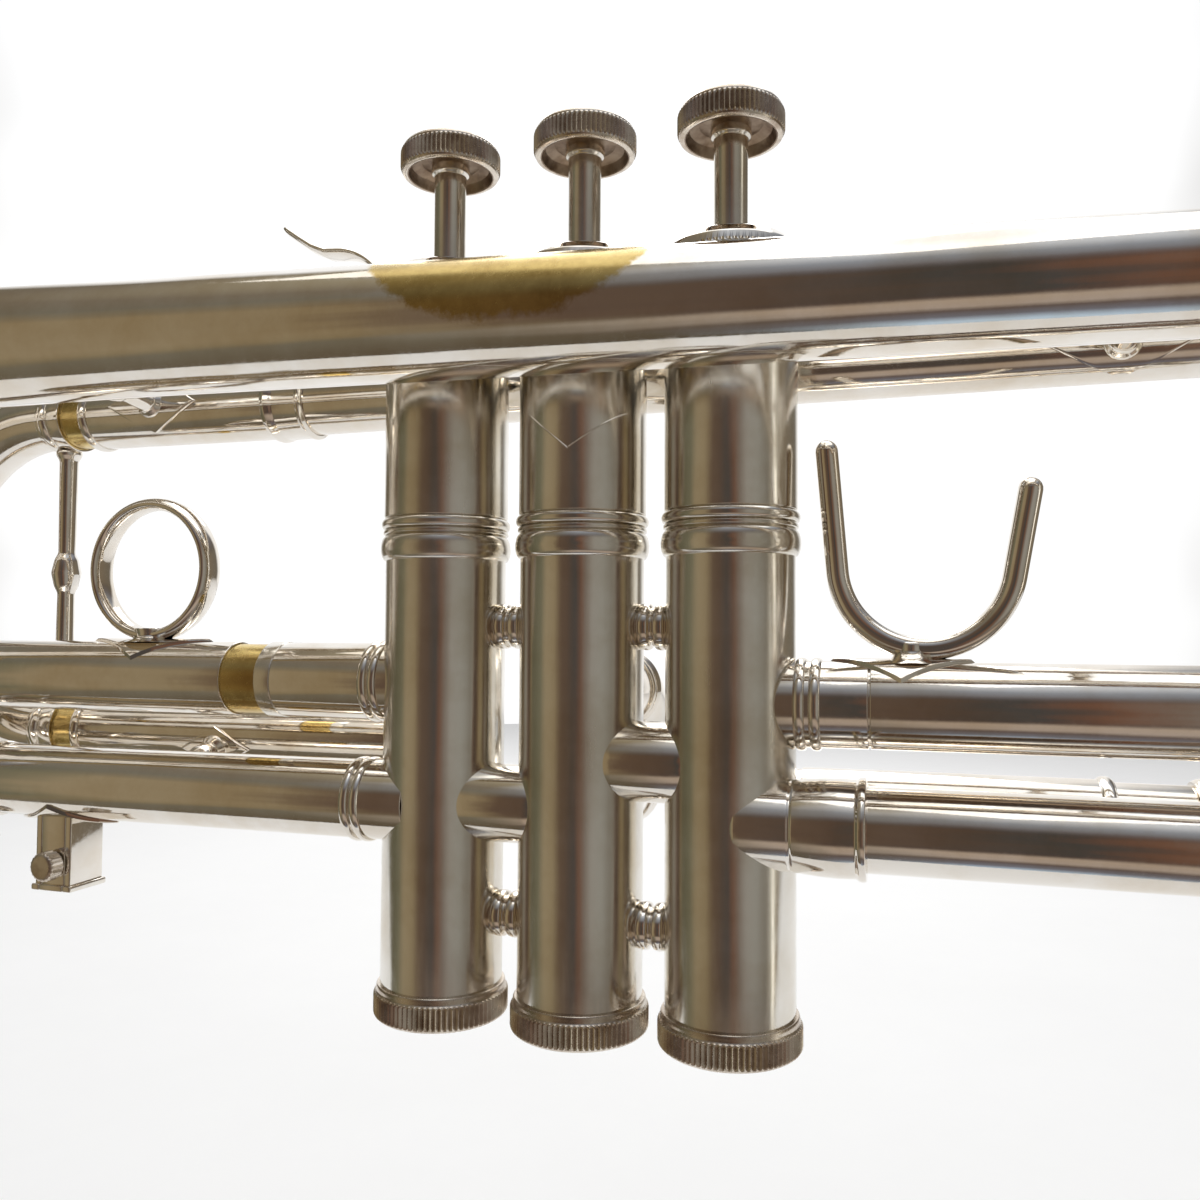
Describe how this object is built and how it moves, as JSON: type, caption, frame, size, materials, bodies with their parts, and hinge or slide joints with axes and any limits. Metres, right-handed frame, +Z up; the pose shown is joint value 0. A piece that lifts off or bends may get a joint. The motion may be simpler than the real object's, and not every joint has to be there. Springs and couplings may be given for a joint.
{
  "type": "trumpet",
  "caption": "Piston-valve trumpet: flared bell, three spring-returned valves, four tuning slides with rings and hooks, water keys and a pull-out mouthpiece.",
  "frame": {"origin": "on the middle valve's axis, at the height where the left hand grips the valve casings", "axes": "+X towards the mouthpiece, -X towards the bell, +Z up along the valves to the finger buttons, -Y to the side the bell stem is on"},
  "size_m": [0.5456, 0.1315, 0.183],
  "materials": {
    "silver_plate": "polished silver plate, lightly tarnished",
    "raw_brass": "drawn, unplated",
    "piston_metal": "honed",
    "spring_steel": "drawn wire",
    "pearl": "pearly",
    "felt": "felt",
    "cork": "cork"
  },
  "bodies": {
    "horn_body": {"bell": "silver_plate", "bell_rim_wire": "raw_brass", "bell_bow": "silver_plate", "bell_tail": "silver_plate", "body_braces": "silver_plate", "leadpipe": "silver_plate", "mouthpiece_receiver": "silver_plate", "main_slide_outer": "silver_plate", "casing_spools": "silver_plate", "crossover_knuckles": "silver_plate", "valve_casing_1": "silver_plate", "valve_casing_2": "silver_plate", "valve_casing_3": "silver_plate", "top_cap_1": "silver_plate", "top_cap_2": "silver_plate", "top_cap_3": "silver_plate", "bottom_cap_1": "silver_plate", "bottom_cap_2": "silver_plate", "bottom_cap_3": "silver_plate", "valve_guide_1": "raw_brass", "valve_guide_2": "raw_brass", "valve_guide_3": "raw_brass", "valve_spring_1": "spring_steel", "valve_spring_2": "spring_steel", "valve_spring_3": "spring_steel", "first_slide_outer": "silver_plate", "second_slide_outer": "silver_plate", "third_slide_outer": "silver_plate", "pinky_hook": "silver_plate", "lyre_holder": "silver_plate"},
    "main_tuning_slide": {"main_slide_legs": "raw_brass", "main_slide_crook": "silver_plate"},
    "main_key_lever": {"main_water_key": "silver_plate", "main_water_cork": "cork"},
    "first_slide": {"first_slide_legs": "silver_plate", "first_slide_crook": "silver_plate", "thumb_saddle": "silver_plate"},
    "second_slide": {"second_slide_bow": "silver_plate"},
    "third_slide": {"third_slide_legs": "silver_plate", "third_slide_crook": "silver_plate", "finger_ring": "silver_plate"},
    "third_key_lever": {"third_water_key": "silver_plate", "third_water_cork": "cork"},
    "lyre_clamp_screw": {"lyre_screw": "silver_plate"},
    "mouthpiece_body": {"mouthpiece": "silver_plate"},
    "valve_1": {"piston_1": "piston_metal", "valve_stem_1": "silver_plate", "finger_button_1": "silver_plate", "button_pearl_1": "pearl", "valve_felt_1": "felt"},
    "valve_2": {"piston_2": "piston_metal", "valve_stem_2": "silver_plate", "finger_button_2": "silver_plate", "button_pearl_2": "pearl", "valve_felt_2": "felt"},
    "valve_3": {"piston_3": "piston_metal", "valve_stem_3": "silver_plate", "finger_button_3": "silver_plate", "button_pearl_3": "pearl", "valve_felt_3": "felt"}
  },
  "joints": [
    {"name": "valve_1_press", "type": "slide", "parent": "horn_body", "child": "valve_1", "axis": [0, 0, -1], "range_m": [0, 0.0156], "stiffness_N_per_m": 100, "springref_m": -0.03, "deforming": ["valve_spring_1"]},
    {"name": "valve_2_press", "type": "slide", "parent": "horn_body", "child": "valve_2", "axis": [0, 0, -1], "range_m": [0, 0.0156], "stiffness_N_per_m": 100, "springref_m": -0.03, "deforming": ["valve_spring_2"]},
    {"name": "valve_3_press", "type": "slide", "parent": "horn_body", "child": "valve_3", "axis": [0, 0, -1], "range_m": [0, 0.0156], "stiffness_N_per_m": 100, "springref_m": -0.03, "deforming": ["valve_spring_3"]},
    {"name": "main_slide_pull", "type": "slide", "parent": "horn_body", "child": "main_tuning_slide", "axis": [-1, 0, 0], "range_m": [-0.0045, 0.03]},
    {"name": "main_key_open", "type": "hinge", "parent": "main_tuning_slide", "child": "main_key_lever", "pos_m": [-0.127, 0.018, -0.0104], "axis": [0, -1, 0], "range_deg": [0, 10], "stiffness_Nm_per_rad": 0.04, "springref_deg": -28.65},
    {"name": "first_slide_pull", "type": "slide", "parent": "horn_body", "child": "first_slide", "axis": [1, 0, 0], "range_m": [0, 0.02]},
    {"name": "second_slide_pull", "type": "slide", "parent": "horn_body", "child": "second_slide", "axis": [0, 1, 0], "range_m": [0, 0.009]},
    {"name": "third_slide_pull", "type": "slide", "parent": "horn_body", "child": "third_slide", "axis": [-1, 0, 0], "range_m": [-0.0068, 0.022]},
    {"name": "third_key_open", "type": "hinge", "parent": "third_slide", "child": "third_key_lever", "pos_m": [-0.1315, -0.0036, -0.0178], "axis": [0, -1, 0], "range_deg": [0, 10], "stiffness_Nm_per_rad": 0.03, "springref_deg": -28.65},
    {"name": "lyre_screw_turn", "type": "hinge", "parent": "horn_body", "child": "lyre_clamp_screw", "pos_m": [-0.0999, -0.0098, -0.0225], "axis": [0, -1, 0], "continuous": true},
    {"name": "mouthpiece_pull", "type": "slide", "parent": "horn_body", "child": "mouthpiece_body", "axis": [1, 0, 0], "range_m": [0, 0.03]}
  ]
}
